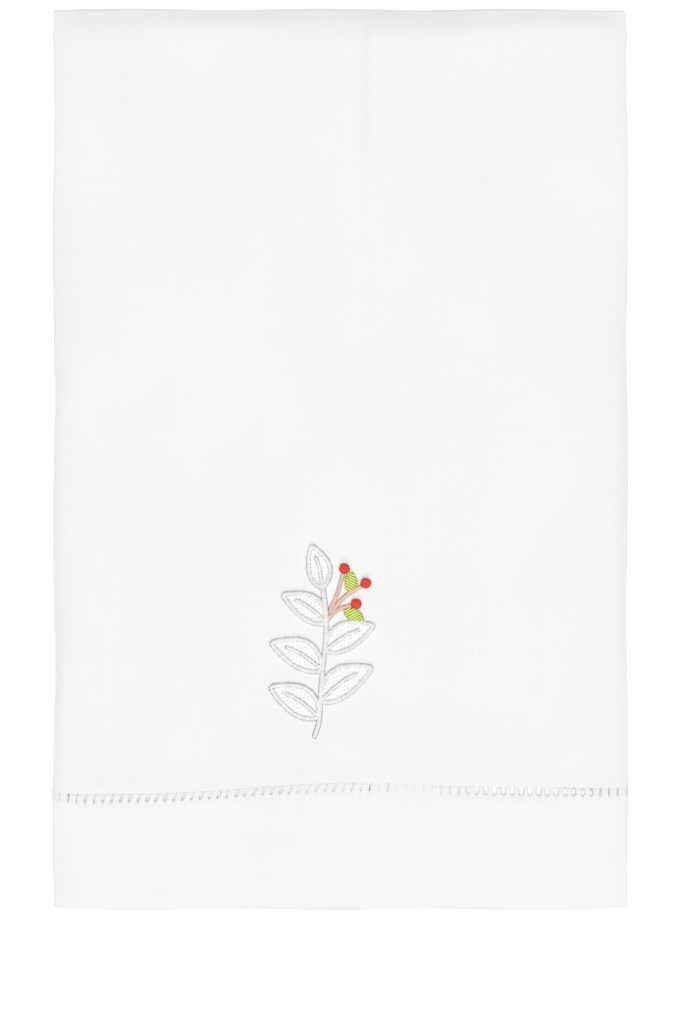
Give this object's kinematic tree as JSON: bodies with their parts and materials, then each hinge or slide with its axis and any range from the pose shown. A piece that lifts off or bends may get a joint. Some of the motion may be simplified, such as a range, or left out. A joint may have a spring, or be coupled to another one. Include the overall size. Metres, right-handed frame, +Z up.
{
  "type": "tea towel",
  "caption": "White linen tea towel folded in four, with a deep hemstitched hem at the front edge and a small embroidered sprig below the middle.",
  "frame": {"origin": "on the surface it lies on, under the centre of the folded towel's box", "axes": "+Z up from the back panel to the front, +Y along the towel from the hem to the top fold, +X across it to the right as the front is read"},
  "size_m": [0.1786, 0.28, 0.0058],
  "materials": {
    "linen": "matt plain-woven white linen, pressed",
    "embroidery": "stranded embroidery thread with a soft sheen, in silver grey, white, lime, red and pink"
  },
  "bodies": {
    "root": {"towel": "linen"}
  },
  "joints": []
}
